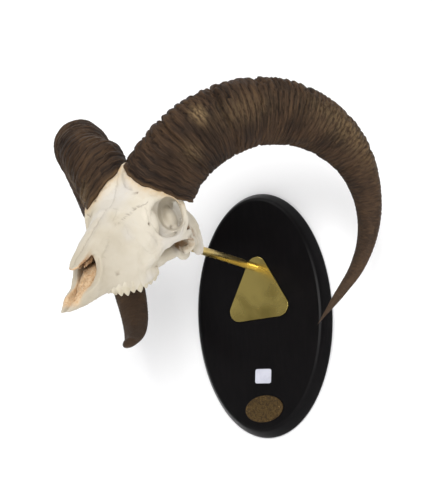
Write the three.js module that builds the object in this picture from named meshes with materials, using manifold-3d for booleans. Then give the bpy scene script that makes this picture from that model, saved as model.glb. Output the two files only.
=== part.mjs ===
// Ram skull with a pair of ridged horns, held by a brass rod in front of an oval wall plaque.
// Millimetres. +Z is up, the plaque's back lies in the plane y = 0 and the animal faces -Y,
// so +X is its left. The origin is the centre of the plaque's back.

import * as THREE from 'three';
import { mergeVertices } from 'three/addons/utils/BufferGeometryUtils.js';
import Module from 'manifold-3d';

const wasm = await Module();
wasm.setup();

// Driving dimensions

const gap = 0.3; // clearance kept between touching pieces

const plaque = {
  height: 296,
  width: 180,
  thickness: 16,
  foot: 2.4, // straight edge beside the wall
  bevel: 8, // how far the slanted edge leans in
  ease: 2, // rounding between the slanted edge and the front
};
const plate = { topX: 2, topZ: 54.5, footX: 26, footZ: 5, corner: 13, thickness: 2 };
const rod = { radius: 4.8, x: 0, z: 55.5, depthInSkull: 16 };
const label = { width: 21, height: 17, corner: 2.5, thickness: 0.6, turn: 0.1, x: 1.2, z: -76.2 };
const tag = { width: 49.5, height: 31.5, thickness: 1.6, edge: 0.6, turn: 0.02, x: 0, z: -114.8 };
const pin = { radius: 2, height: 1.1, edge: 0.7, spacing: 39 };

const head = {
  x: 0,
  y: -190,
  z: 48,
  noseDown: THREE.MathUtils.degToRad(22),
};

// Skull sizes: forward from the occiput, up from the tooth-socket level, and half widths
const skull = {
  occiput: -4,
  prosthion: 256,
  nasalTip: 224,
  orbit: { forward: 98, up: 51, side: 43, radius: 21, rim: 4.5, lookForward: 0.4 },
  socket: { forward: 100, up: 50.5, side: 49.5, radius: 20.5, depth: 36 },
  toothRow: { front: 187, back: 116, teeth: 6 },
  foramen: { up: 13, radius: 10.5, depth: 9 },
  roofDrop: 0.16, // how far the roof's edge lies below its middle, as a share of the upper side
  baseRise: 0.08, // and the base's edge above its middle, as a share of the lower side
  roundness: 0.42, // of each section's corners
  around: 20,
  along: 33,
};

// Horn: a conical spiral whose section narrows from a broad oval base to the tip
const horn = {
  spiralRadius: 137.6,
  tightening: [-0.025, 0.043],
  rise: 114.9,
  lean: -5.91,
  egg: 0.14, // how much wider the outer half of the section is
  meetingTurn: 0.9, // how far round towards the other horn they meet
  flareEnd: 0.1, // where the foot's own form runs out along the horn
  flareSharpness: 3, // how suddenly the foot spreads at the rim
  roundedTip: 0.02, // the last stretch that closes to a rounded end
  closedTip: 0.96, // how far that stretch closes
  core: { from: -0.16, along: 3, narrow: 0.93 }, // the bony stump under each horn
  room: { to: 0.25, along: 10 }, // the stretch of horn that the skull keeps clear of
  length: 450, // roughly, along the middle of one horn
  ridges: 15,
  ridgeHeight: 0.9,
  along: 46,
  around: 14,
};
// Start and end are shares of the spiral, and wear is how much of the point is rubbed away.
// Notch is how far the rim rises where the two horns meet, and flare how far the foot spreads
// there towards the other horn.
const hornSides = [
  { name: 'horn_left', mirror: 1, centre: [174.7, -62.4, -26.1], turn: [-71.7, -43.5, -121.4], sweep: 3.539,
    start: -0.045, notch: 15, flare: 4, straightFrom: 0.87, end: 1.035, wear: 0 },
  { name: 'horn_right', mirror: -1, centre: [169.7, -29.9, -31.9], turn: [-67.1, -56.2, -114.5], sweep: 4.065,
    start: -0.054, notch: 28, flare: 17, straightFrom: 0.99, end: 0.955, wear: 0.13 },
];

// Materials

const finish = (color, roughness, metalness) => new THREE.MeshStandardMaterial({ color, roughness, metalness });
const materials = {
  bone: finish(0xe6dfcd, 0.62, 0),
  horn: finish(0x3a2c22, 0.6, 0),
  brass: finish(0xb8944a, 0.24, 1),
  agedBrass: finish(0x6f5a34, 0.5, 1),
  blackWood: finish(0x141416, 0.32, 0),
  paper: finish(0xeceef2, 0.8, 0),
};

// Geometry helpers

// A smooth function through named [place, value] knots.
function profile(...knots) {
  const slope = (i, j) => (knots[j][1] - knots[i][1]) / (knots[j][0] - knots[i][0]);
  const last = knots.length - 1;
  const slopes = knots.map((knot, i) => {
    if (i === 0) return slope(0, 1);
    if (i === last) return slope(last - 1, last);
    const before = slope(i - 1, i);
    const after = slope(i, i + 1);
    return before * after <= 0 ? 0 : (2 * before * after) / (before + after);
  });
  return (place) => {
    const held = THREE.MathUtils.clamp(place, knots[0][0], knots[last][0]);
    let i = 0;
    while (i < last - 1 && held > knots[i + 1][0]) i += 1;
    const span = knots[i + 1][0] - knots[i][0];
    const t = (held - knots[i][0]) / span;
    const rise = knots[i + 1][1] - knots[i][1];
    return (
      knots[i][1] +
      rise * t * t * (3 - 2 * t) +
      span * t * (1 - t) * (slopes[i] * (1 - t) - slopes[i + 1] * t)
    );
  };
}

// Merges the shared corners and turns the faces outward.
function closed(geometry) {
  geometry.deleteAttribute('normal');
  geometry.deleteAttribute('uv');
  const merged = mergeVertices(geometry, 1e-4);
  const corner = [new THREE.Vector3(), new THREE.Vector3(), new THREE.Vector3()];
  const position = merged.attributes.position;
  const index = merged.index.array;
  const kept = [];
  let volume = 0;
  for (let i = 0; i < index.length; i += 3) {
    const [a, b, c] = [index[i], index[i + 1], index[i + 2]];
    if (a === b || b === c || c === a) continue;
    corner.forEach((point, k) => point.fromBufferAttribute(position, [a, b, c][k]));
    volume += corner[0].dot(corner[1].cross(corner[2]));
    kept.push(a, b, c);
  }
  if (volume < 0) kept.reverse();
  merged.setIndex(kept);
  return merged;
}

function toManifold(geometry) {
  const solid = closed(geometry);
  const mesh = new wasm.Mesh({
    numProp: 3,
    vertProperties: Float32Array.from(solid.attributes.position.array),
    triVerts: Uint32Array.from(solid.index.array),
  });
  return new wasm.Manifold(mesh);
}

function toGeometry(manifold) {
  const mesh = manifold.getMesh();
  const geometry = new THREE.BufferGeometry();
  geometry.setAttribute('position', new THREE.BufferAttribute(mesh.vertProperties, 3));
  geometry.setIndex(new THREE.BufferAttribute(mesh.triVerts, 1));
  return geometry;
}

// A closed body made of rings: place(t, turn, out) gives a point of ring t (0 to 1), where
// out is 1 on the ring and 0 at the middle of the two end caps.
function ringed(around, along, place) {
  const geometry = new THREE.CylinderGeometry(1, 1, 1, around, along);
  const position = geometry.attributes.position;
  const point = new THREE.Vector3();
  for (let i = 0; i < position.count; i += 1) {
    point.fromBufferAttribute(position, i);
    const out = Math.min(1, Math.round(Math.hypot(point.x, point.z)));
    const turn = out ? Math.atan2(point.z, point.x) : 0;
    point.copy(place(THREE.MathUtils.clamp(0.5 - point.y, 0, 1), turn, out));
    position.setXYZ(i, point.x, point.y, point.z);
  }
  return geometry;
}

// A tapered limb along a smooth curve, oval in section.
function limb(points, radius, { around = 6, along = 5, flat = 1 } = {}) {
  const curve = new THREE.CatmullRomCurve3(points, false, 'centripetal');
  const frames = curve.computeFrenetFrames(along);
  return ringed(around, along, (t, turn, out) => {
    const step = Math.round(t * along);
    const point = curve.getPointAt(t);
    const reach = radius(t) * out;
    point.addScaledVector(frames.normals[step], reach * Math.cos(turn));
    return point.addScaledVector(frames.binormals[step], reach * flat * Math.sin(turn));
  });
}

// A ball stretched to three radii.
function ball(centre, radii) {
  const geometry = new THREE.SphereGeometry(1, 8, 6);
  geometry.scale(...radii);
  geometry.translate(centre.x, centre.y, centre.z);
  return geometry;
}

// A place on the skull, from its forward, up and side distances.
const at = (forward, up, side = 0) => new THREE.Vector3(side, -forward, up);

// Skull

// Sections of the braincase, forehead, cheeks and muzzle along the forward direction.
const section = {
  top: profile([-4, 40], [6, 53], [25, 69], [45, 89], [62, 107], [74, 114], [86, 112], [100, 97], [117, 80],
    [140, 69.5], [176, 55.5], [190, 47], [198, 37], [208, 25], [222, 13], [238, 6.5], [250, 1], [256, -2]),
  bottom: profile([-4, 6], [8, 2], [30, 0], [60, 4], [90, 8], [108, 1], [130, -1], [195, -1.5], [225, -4],
    [250, -6], [256, -4]),
  roofHalf: profile([-4, 14], [8, 23], [30, 25], [60, 32], [80, 40], [98, 38], [115, 30], [135, 22], [165, 17],
    [195, 15], [222, 12.5], [248, 8], [256, 4]),
  middleHalf: profile([-4, 24], [8, 36], [28, 37], [50, 34], [66, 36], [82, 42], [98, 44.5], [118, 41], [140, 34],
    [165, 27], [192, 19.5], [215, 16], [240, 12], [256, 6]),
  middleUp: profile([-4, 22], [8, 25], [30, 31], [60, 56], [85, 64], [105, 52], [130, 34], [150, 26], [180, 20],
    [200, 12], [225, 4], [256, -2]),
  baseHalf: profile([-4, 12], [8, 19], [30, 16], [70, 13], [92, 19], [108, 29], [150, 29], [190, 18], [225, 12],
    [256, 5]),
};

function skullCore() {
  const ringAt = (t) => skull.occiput + (skull.prosthion - skull.occiput) * t;
  const sectionCurves = new Map();
  const curveAt = (t) => {
    if (!sectionCurves.has(t)) {
      const forward = ringAt(t);
      const [top, bottom, roof, middle, middleUp, base] = ['top', 'bottom', 'roofHalf', 'middleHalf', 'middleUp',
        'baseHalf'].map((name) => section[name](forward));
      const roofUp = THREE.MathUtils.lerp(top, middleUp, skull.roofDrop);
      const baseUp = THREE.MathUtils.lerp(bottom, middleUp, skull.baseRise);
      const half = [[base, baseUp], [middle, middleUp], [roof, roofUp]];
      const ring = [
        at(forward, bottom),
        ...half.map(([side, up]) => at(forward, up, side)),
        at(forward, top),
        ...half.reverse().map(([side, up]) => at(forward, up, -side)),
      ];
      sectionCurves.set(t, new THREE.CatmullRomCurve3(ring, true, 'catmullrom', skull.roundness));
    }
    return sectionCurves.get(t);
  };
  return ringed(skull.around, skull.along, (t, turn, out) => {
    const forward = ringAt(t);
    if (!out) return at(forward, (section.top(forward) + section.bottom(forward)) / 2);
    return curveAt(t).getPoint(THREE.MathUtils.euclideanModulo(turn / (2 * Math.PI), 1));
  });
}

// The two nasal bones: an arched roof that ends in a pair of points over the nose opening.
function nasalBone(side) {
  const start = 122;
  const thickness = 3.2;
  const overlap = 0.4; // past the skull's middle, into the other bone
  const width = profile([start, 12], [150, 15.5], [195, 14], [214, 9], [skull.nasalTip, 1.5]);
  const arch = profile([start, 4], [195, 6], [skull.nasalTip, 2]);
  const crest = profile([start, 77], [140, 70.5], [176, 56.5], [200, 45.5], [skull.nasalTip, 33]);
  return ringed(8, 7, (t, turn, out) => {
    const forward = start + (skull.nasalTip - start) * t;
    const across = width(forward) * (0.5 + 0.5 * Math.cos(turn) * out) - overlap;
    const lift = thickness * 0.5 * Math.sin(turn) * out;
    const sag = arch(forward) * (across / width(forward)) ** 2;
    return at(forward, crest(forward) - thickness / 2 + lift - sag, side * across);
  });
}

// The nose passage, open in front between the premaxillae and under the nasal bones.
function nosePassage() {
  const back = 165;
  const front = skull.prosthion + 8;
  const half = profile([back, 5], [185, 10], [200, 11], [222, 9.5], [245, 6], [front, 4]);
  const floor = profile([back, 14], [195, 5], [225, 1], [250, 1.5], [front, 2]);
  const roof = profile([back, 30], [185, 44], [200, 48], [front, 50]);
  return ringed(10, 6, (t, turn, out) => {
    const forward = back + (front - back) * t;
    const middle = (roof(forward) + floor(forward)) / 2;
    const up = (roof(forward) - floor(forward)) / 2;
    const round = 1 / Math.max(Math.abs(Math.cos(turn)), Math.abs(Math.sin(turn))) ** 0.5;
    return at(forward, middle + up * Math.sin(turn) * out * Math.min(round, 1.15),
      half(forward) * Math.cos(turn) * out * Math.min(round, 1.15));
  });
}

// A row of cheek teeth, each with two cusps; the crowns are longest in the middle of the row.
function toothRow(side) {
  const { front, back, teeth } = skull.toothRow;
  const stepsPerTooth = 4;
  const line = profile([back, 28], [140, 27.5], [165, 23], [front, 15.5]);
  const half = profile([back, 4.5], [135, 5.6], [160, 5.2], [front, 3.6]);
  const drop = profile([back, 4], [126, 8.5], [150, 13.5], [172, 11.5], [front, 8]);
  return ringed(6, teeth * stepsPerTooth, (t, turn, out) => {
    const forward = back + (front - back) * t;
    const quarter = Math.round(t * teeth * stepsPerTooth) % stepsPerTooth;
    const neck = quarter === 0 ? 0.85 : 1;
    const cusp = quarter % 2 ? 1 : 0.74;
    const up = Math.sin(turn) < -0.1 ? drop(forward) * cusp : 8;
    return at(forward, up * Math.sin(turn) * out, side * (line(forward) + half(forward) * neck * Math.cos(turn) * out));
  });
}

function orbitRim(side) {
  const { forward, up, side: out, radius, rim, lookForward } = skull.orbit;
  const geometry = new THREE.TorusGeometry(radius + rim * 0.35, rim, 6, 16);
  geometry.rotateY(Math.PI / 2);
  geometry.rotateZ(-side * lookForward);
  geometry.translate(side * out, -forward, up);
  return geometry;
}

function orbitSocket(side) {
  const { forward, up, side: out, radius, depth } = skull.socket;
  const geometry = new THREE.SphereGeometry(1, 16, 8);
  geometry.scale(depth, radius, radius);
  geometry.rotateZ(-side * skull.orbit.lookForward);
  geometry.translate(side * out, -forward, up);
  return geometry;
}

function cheekParts(side) {
  const bar = limb([at(88, 73, side * 43), at(75, 64, side * 47), at(73, 48, side * 49), at(82, 33, side * 47)],
    () => 5.6, { flat: 0.7 });
  const arch = limb([at(112, 25, side * 38), at(92, 25, side * 45), at(66, 17, side * 48), at(42, 14, side * 44),
    at(28, 17, side * 34)], profile([0, 7], [0.4, 5], [1, 4.6]), { flat: 0.6 });
  const tuber = limb([at(150, 12, side * 26), at(132, 15, side * 33), at(110, 23, side * 37)], () => 7,
    { flat: 0.8, along: 4 });
  return [bar, arch, tuber];
}

function earParts(side) {
  const bulla = ball(at(34, 3, side * 21), [7, 12, 9]);
  const meatus = limb([at(32, 11, side * 24), at(27, 13, side * 40)], () => 5.5, { along: 2 });
  const process = limb([at(8, 20, side * 29), at(5, 8, side * 28.5), at(5, -9, side * 26)],
    profile([0, 6.5], [0.6, 5], [1, 1.6]), { flat: 0.55, along: 5 });
  const condyle = ball(at(-3, 7, side * 14.5), [7.5, 9, 10]);
  const pterygoid = limb([at(112, 14, side * 15), at(90, 4, side * 13), at(62, 3, side * 11)],
    profile([0, 5], [0.5, 4], [1, 3]), { flat: 1.6, along: 4 });
  return [bulla, meatus, process, condyle, pterygoid];
}

// The hole for the spinal cord, as a shallow recess between the condyles.
function foramenRecess() {
  const { up, radius, depth } = skull.foramen;
  return ball(at(skull.occiput, up), [radius, depth, radius * 0.9]);
}

// Horns

// Half widths of the horn, in the plane of its coil and across it, from base to tip.
const sectionBroad = profile([-0.2, 43.4], [0, 43.4], [0.12, 41.8], [0.28, 37.2], [0.45, 27.7], [0.62, 15.6],
  [0.78, 8.1], [0.9, 6.2], [1, 0.8]);
const sectionThin = profile([-0.2, 25.5], [0, 26.1], [0.12, 31.7], [0.28, 29.2], [0.45, 25.9], [0.62, 20.2],
  [0.78, 14.4], [0.9, 7], [1, 0.8]);

// The middle of the horn at s, from 0 at the base to 1 at the tip, in the skull's own frame.
function hornPoint(side, s) {
  if (s > side.straightFrom) {
    const step = 0.002;
    const last = hornPoint(side, side.straightFrom);
    const way = last.clone().sub(hornPoint(side, side.straightFrom - step));
    return last.addScaledVector(way, (s - side.straightFrom) / step);
  }
  const angle = s * side.sweep;
  const shrink = Math.exp(-horn.tightening[0] * angle - horn.tightening[1] * angle ** 2);
  const point = new THREE.Vector3(
    horn.spiralRadius * Math.cos(angle) * shrink,
    horn.spiralRadius * Math.sin(angle) * shrink,
    horn.rise * shrink + horn.lean * (angle / 4) ** 2,
  );
  const turn = new THREE.Euler(...side.turn.map(THREE.MathUtils.degToRad), 'XYZ');
  point.applyEuler(turn).add(new THREE.Vector3(...side.centre));
  point.x *= side.mirror;
  return point;
}

// One horn, or with other settings the stump under it or the room cut out for it. Apart is how
// far it stays from the middle plane.
function hornBody(side, settings = {}) {
  const { from = side.start, to = side.end, along = horn.along, widen = 0, narrow = 1, apart = gap } = settings;
  const turn = new THREE.Euler(...side.turn.map(THREE.MathUtils.degToRad), 'XYZ');
  const axis = new THREE.Vector3(0, 0, 1).applyEuler(turn);
  const mirrored = new THREE.Vector3(side.mirror, 1, 1);
  const centre = new THREE.Vector3(...side.centre).multiply(mirrored);
  axis.multiply(mirrored);
  return ringed(horn.around, along, (t, angle, out) => {
    const s = from + (to - from) * t;
    const step = 0.002;
    const point = hornPoint(side, s);
    const forward = hornPoint(side, s + step).sub(hornPoint(side, s - step)).normalize();
    const outward = point.clone().sub(centre);
    outward.addScaledVector(axis, -outward.dot(axis));
    outward.addScaledVector(forward, -outward.dot(forward)).normalize();
    const across = new THREE.Vector3().crossVectors(forward, outward);
    const ridge = widen ? 0 : horn.ridgeHeight * Math.cos(2 * Math.PI * horn.ridges * s) * (1 - s);
    const egg = 1 + horn.egg * Math.cos(angle);
    const foot = THREE.MathUtils.smoothstep(horn.flareEnd - s, 0, horn.flareEnd);
    const grown = (s / side.end) * (1 - side.wear);
    const atTip = THREE.MathUtils.clamp(1 - (to - s) / horn.roundedTip, 0, 1);
    const closing = Math.sqrt(1 - horn.closedTip * atTip ** 2);
    const broad = (sectionBroad(grown) * narrow + widen + ridge) * closing * out;
    const thin = (sectionThin(grown) * narrow + widen + ridge) * closing * out * egg;
    const meeting = (0.5 + 0.5 * Math.cos(angle + side.mirror * horn.meetingTurn)) ** 3 * out;
    point.addScaledVector(forward, side.notch * foot * meeting);
    point.addScaledVector(outward, broad * Math.cos(angle));
    point.addScaledVector(across, thin * Math.sin(angle));
    point.x -= side.mirror * side.flare * foot ** horn.flareSharpness * meeting;
    if (point.x * side.mirror < apart) point.x = side.mirror * apart;
    return point;
  });
}

function skullBody() {
  let body = toManifold(skullCore());
  const join = (geometry) => {
    body = body.add(toManifold(geometry));
  };
  const cut = (geometry) => {
    body = body.subtract(toManifold(geometry));
  };
  cut(nosePassage());
  for (const side of [1, -1]) {
    join(nasalBone(side));
    join(orbitRim(side));
    cheekParts(side).forEach(join);
    earParts(side).forEach(join);
    join(toothRow(side));
  }
  cut(foramenRecess());
  const clearance = gap / horn.length; // as a share of the spiral
  for (const side of hornSides) join(hornBody(side, { ...horn.core, to: side.start - clearance, apart: 0 }));
  for (const side of [1, -1]) cut(orbitSocket(side));
  const widen = horn.ridgeHeight + gap;
  for (const side of hornSides) cut(hornBody(side, { ...horn.room, from: side.start - clearance, widen, apart: 0 }));
  return body;
}

// Mount

function roundedOutline(width, height, corner) {
  const [x, y] = [width / 2, height / 2];
  const shape = new THREE.Shape();
  shape.moveTo(x, corner - y);
  shape.absarc(x - corner, y - corner, corner, 0, Math.PI / 2);
  shape.absarc(corner - x, y - corner, corner, Math.PI / 2, Math.PI);
  shape.absarc(corner - x, corner - y, corner, Math.PI, 1.5 * Math.PI);
  shape.absarc(x - corner, corner - y, corner, 1.5 * Math.PI, 2 * Math.PI);
  return shape;
}

// Three round corners joined by straight sides: one at the top, two at the foot.
function triangleOutline({ topX, topZ, footX, footZ, corner }) {
  const shape = new THREE.Shape();
  const corners = [[topX, topZ], [topX - footX, footZ], [topX + footX, footZ]];
  const lean = Math.atan2(footX, topZ - footZ);
  shape.absarc(...corners[0], corner, lean, Math.PI - lean);
  shape.absarc(...corners[1], corner, Math.PI - lean, 1.5 * Math.PI);
  shape.absarc(...corners[2], corner, 1.5 * Math.PI, 2 * Math.PI + lean);
  return shape;
}

function extruded(shape, depth, curveSegments) {
  return closed(new THREE.ExtrudeGeometry(shape, { depth, bevelEnabled: false, curveSegments }));
}

// An oval disc; the rim lists how far its edge is drawn in at each height above the back.
function ovalDisc({ width, height }, rim, around) {
  const rows = [...rim].reverse();
  const geometry = new THREE.CylinderGeometry(1, 1, 1, around, rows.length - 1);
  const position = geometry.attributes.position;
  for (let i = 0; i < position.count; i += 1) {
    const row = Math.round((0.5 - position.getY(i)) * (rows.length - 1));
    const [inset, depth] = rows[row];
    position.setXYZ(i, position.getX(i) * (width / 2 - inset), position.getZ(i) * (height / 2 - inset), depth);
  }
  return closed(geometry);
}

function easedRim({ thickness, edge }) {
  return [[0, 0], [0, thickness - edge], [edge, thickness]];
}

function mesh(name, geometry, material) {
  const piece = new THREE.Mesh(geometry, material);
  piece.name = name;
  return piece;
}

// Turns a flat piece to stand against the wall and lifts it off the wall by depth.
function onWall(piece, { x = 0, z = 0, turn = 0 }, depth) {
  piece.rotation.set(Math.PI / 2, 0, 0);
  piece.rotateZ(turn);
  piece.position.set(x, -depth, z);
  return piece;
}

const model = new THREE.Group();

const { thickness, foot, bevel, ease } = plaque;
const plaqueRim = [[0, 0], [0, foot], [bevel, thickness - ease * 0.7], [bevel + ease, thickness]];
model.add(onWall(mesh('plaque', ovalDisc(plaque, plaqueRim, 44), materials.blackWood), {}, 0));

const front = thickness + gap;
model.add(onWall(mesh('mount_plate', extruded(triangleOutline(plate), plate.thickness, 5), materials.brass), {},
  front));
const paper = extruded(roundedOutline(label.width, label.height, label.corner), label.thickness, 3);
model.add(onWall(mesh('label', paper, materials.paper), label, front));

model.add(onWall(mesh('tag', ovalDisc(tag, easedRim(tag), 28), materials.agedBrass), tag, front));
for (const [name, side] of [['tag_pin_left', 1], ['tag_pin_right', -1]]) {
  const reach = (side * pin.spacing) / 2;
  const disc = { width: 2 * pin.radius, height: 2 * pin.radius, thickness: pin.height, edge: pin.edge };
  const piece = mesh(name, ovalDisc(disc, easedRim(disc), 10), materials.agedBrass);
  model.add(onWall(piece, { x: tag.x + reach, z: tag.z + reach * tag.turn }, front + tag.thickness + gap));
}

const rodStart = front + plate.thickness + gap;
const rodEnd = -head.y + rod.depthInSkull;
const rodLength = rodEnd - rodStart;
const rodPiece = mesh('mount_rod', closed(new THREE.CylinderGeometry(rod.radius, rod.radius, rodLength, 16)),
  materials.brass);
rodPiece.position.set(rod.x, -(rodStart + rodEnd) / 2, rod.z);
model.add(rodPiece);

const headGroup = new THREE.Group();
headGroup.position.set(head.x, head.y, head.z);
headGroup.rotation.x = head.noseDown;
model.add(headGroup);

for (const side of hornSides) headGroup.add(mesh(side.name, closed(hornBody(side)), materials.horn));

// The rod's own socket in the back of the skull, with clearance all round.
const socket = new THREE.CylinderGeometry(rod.radius + gap, rod.radius + gap, rodLength, 16);
socket.translate(rod.x, -(rodStart + rodEnd) / 2 - gap, rod.z);
headGroup.updateWorldMatrix(true, false);
socket.applyMatrix4(headGroup.matrixWorld.clone().invert());
headGroup.add(mesh('skull', toGeometry(skullBody().subtract(toManifold(socket))), materials.bone));

export default model;
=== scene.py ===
import math

import bpy
import numpy as np
from mathutils import Euler, Matrix, Vector


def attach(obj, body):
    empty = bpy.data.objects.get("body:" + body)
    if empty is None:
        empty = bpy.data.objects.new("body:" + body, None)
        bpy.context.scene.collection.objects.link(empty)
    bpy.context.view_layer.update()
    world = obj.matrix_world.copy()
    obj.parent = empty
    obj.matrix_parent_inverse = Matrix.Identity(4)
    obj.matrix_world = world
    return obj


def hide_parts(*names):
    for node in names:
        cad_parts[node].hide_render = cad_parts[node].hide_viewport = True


# Ram skull on a black oval wall plaque. Metres; the plaque's back lies in the plane y = 0.

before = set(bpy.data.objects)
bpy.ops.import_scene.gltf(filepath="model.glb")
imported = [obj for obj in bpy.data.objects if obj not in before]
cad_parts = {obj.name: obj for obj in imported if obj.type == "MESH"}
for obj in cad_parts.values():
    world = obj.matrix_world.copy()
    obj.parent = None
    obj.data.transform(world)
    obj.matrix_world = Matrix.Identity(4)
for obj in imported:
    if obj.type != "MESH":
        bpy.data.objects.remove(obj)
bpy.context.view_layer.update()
print("frame loaded")

mm = 0.001
headPlace = Vector((0, -0.190, 0.048))
headTurn = math.radians(22)
headMatrix = Matrix.Translation(headPlace) @ Matrix.Rotation(headTurn, 4, "X")


# Working helpers

def deselectAll():
    if bpy.context.mode != "OBJECT":
        bpy.ops.object.mode_set(mode="OBJECT")
    bpy.ops.object.select_all(action="DESELECT")


def workOn(piece):
    deselectAll()
    piece.select_set(True)
    bpy.context.view_layer.objects.active = piece


def newest(name):
    piece = bpy.context.view_layer.objects.active
    piece.name = name
    piece.data.name = name
    return piece


def applyModifiers(piece):
    workOn(piece)
    for modifier in list(piece.modifiers):
        bpy.ops.object.modifier_apply(modifier=modifier.name)


def applyPlace(piece):
    workOn(piece)
    bpy.ops.object.transform_apply(location=True, rotation=True, scale=True)


def joinPieces(pieces):
    deselectAll()
    for piece in pieces:
        piece.select_set(True)
    bpy.context.view_layer.objects.active = pieces[0]
    bpy.ops.object.join()
    return pieces[0]


def editAll(piece, operation, **settings):
    # one edit operation on all of a piece's mesh
    workOn(piece)
    bpy.ops.object.mode_set(mode="EDIT")
    bpy.ops.mesh.select_all(action="SELECT")
    operation(**settings)
    bpy.ops.object.mode_set(mode="OBJECT")


def turnOutward(piece):
    editAll(piece, bpy.ops.mesh.normals_make_consistent, inside=False)


def readPoints(mesh):
    flat = np.zeros(len(mesh.vertices) * 3, np.float32)
    mesh.vertices.foreach_get("co", flat)
    return flat.reshape(-1, 3).astype(float)


def readNormals(mesh):
    flat = np.zeros(len(mesh.vertices) * 3, np.float32)
    mesh.vertex_normals.foreach_get("vector", flat)
    return flat.reshape(-1, 3).astype(float)


def writePoints(mesh, points):
    mesh.vertices.foreach_set("co", np.ascontiguousarray(points, np.float32).ravel())
    mesh.update()


def writeMask(mesh, name, values):
    attribute = mesh.attributes.new(name, "FLOAT", "POINT")
    attribute.data.foreach_set("value", np.clip(values, 0, 1).astype(np.float32))


def smoothShade(piece, degrees=None):
    workOn(piece)
    if degrees is None:
        bpy.ops.object.shade_smooth()
    else:
        bpy.ops.object.shade_smooth_by_angle(angle=math.radians(degrees))


def profile(*knots):
    # a smooth line through (place, value) knots, without overshoot
    places = np.array([knot[0] for knot in knots], float)
    values = np.array([knot[1] for knot in knots], float)
    steps = np.diff(values) / np.diff(places)
    slopes = np.concatenate([[steps[0]], np.zeros(len(steps) - 1), [steps[-1]]])
    for i in range(1, len(steps)):
        before, after = steps[i - 1], steps[i]
        if before * after > 0:
            slopes[i] = 2 * before * after / (before + after)

    def value(place):
        held = np.clip(np.asarray(place, float), places[0], places[-1])
        i = np.clip(np.searchsorted(places, held, side="right") - 1, 0, len(steps) - 1)
        span = places[i + 1] - places[i]
        t = (held - places[i]) / span
        rise = (values[i + 1] - values[i]) * t * t * (3 - 2 * t)
        return values[i] + rise + span * t * (1 - t) * (slopes[i] * (1 - t) - slopes[i + 1] * t)

    return value


def smoothStep(x, low, high):
    t = np.clip((np.asarray(x, float) - low) / (high - low), 0, 1)
    return t * t * (3 - 2 * t)


def softNoise(points, scale, seed=0):
    # smooth noise from -1 to 1 at each point: a few tilted waves folded into each other
    rng = np.random.default_rng(seed)
    total = np.zeros(len(points))
    drift = np.zeros(len(points))
    for _ in range(6):
        direction = rng.normal(size=3)
        direction /= np.linalg.norm(direction)
        turns = 2 * math.pi * scale * rng.uniform(0.6, 1.5)
        wave = np.sin(points @ direction * turns + rng.uniform(0, 6.3) + 1.7 * drift)
        drift = wave
        total += wave
    return total / 3.2


# Materials

def paint(red, green, blue):
    # a colour as a screen shows it, from 0 to 255, as the shaders want it
    linear = [((c / 255 + 0.055) / 1.055) ** 2.4 if c > 10 else c / 3294 for c in (red, green, blue)]
    return (*linear, 1)


def startMaterial(name):
    material = bpy.data.materials.new(name)
    material.use_nodes = True
    tree = material.node_tree
    return material, tree, tree.nodes["Principled BSDF"]


def feed(tree, socket, value):
    if isinstance(value, bpy.types.NodeSocket):
        tree.links.new(value, socket)
    else:
        socket.default_value = value


def addNode(tree, kind, sockets=None, **settings):
    node = tree.nodes.new(kind)
    for key, value in settings.items():
        setattr(node, key, value)
    for key, value in (sockets or {}).items():
        feed(tree, node.inputs[key], value)
    return node


def placeOn(tree, source="Object", stretch=(1, 1, 1)):
    coordinates = addNode(tree, "ShaderNodeTexCoord")
    mapping = addNode(tree, "ShaderNodeMapping", {"Vector": coordinates.outputs[source], "Scale": stretch})
    return mapping.outputs["Vector"]


def maskOf(tree, name):
    return addNode(tree, "ShaderNodeAttribute", attribute_name=name).outputs["Fac"]


def noise(tree, place, scale, detail=4, roughness=0.55, distortion=0):
    node = addNode(tree, "ShaderNodeTexNoise", {"Vector": place, "Scale": scale, "Detail": detail,
                                                "Roughness": roughness, "Distortion": distortion})
    return node.outputs["Fac"]


def spread(tree, value, low, high, least=0, most=1):
    node = addNode(tree, "ShaderNodeMapRange", {"Value": value, "From Min": low, "From Max": high,
                                                "To Min": least, "To Max": most},
                   interpolation_type="SMOOTHSTEP")
    return node.outputs["Result"]


def blendColour(tree, share, first, second):
    sockets = {0: share, 6: first, 7: second}
    return addNode(tree, "ShaderNodeMix", data_type="RGBA", sockets=sockets).outputs[2]


def times(tree, first, second):
    return addNode(tree, "ShaderNodeMath", {0: first, 1: second}, operation="MULTIPLY").outputs[0]


def within(tree, mask, value):
    return times(tree, maskOf(tree, mask), value)


def layered(tree, colour, *coats):
    # thin coats over a colour: each has its share, from 0 to 1, and its own colour
    for share, coat in coats:
        colour = blendColour(tree, share, colour, paint(*coat))
    return colour


def reliefOf(tree, height, strength, distance, under=None):
    sockets = {"Height": height, "Strength": strength, "Distance": distance}
    if under is not None:
        sockets["Normal"] = under
    return addNode(tree, "ShaderNodeBump", sockets).outputs["Normal"]


def finish(tree, shader, sockets):
    for key, value in sockets.items():
        feed(tree, shader.inputs[key], value)


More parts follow.
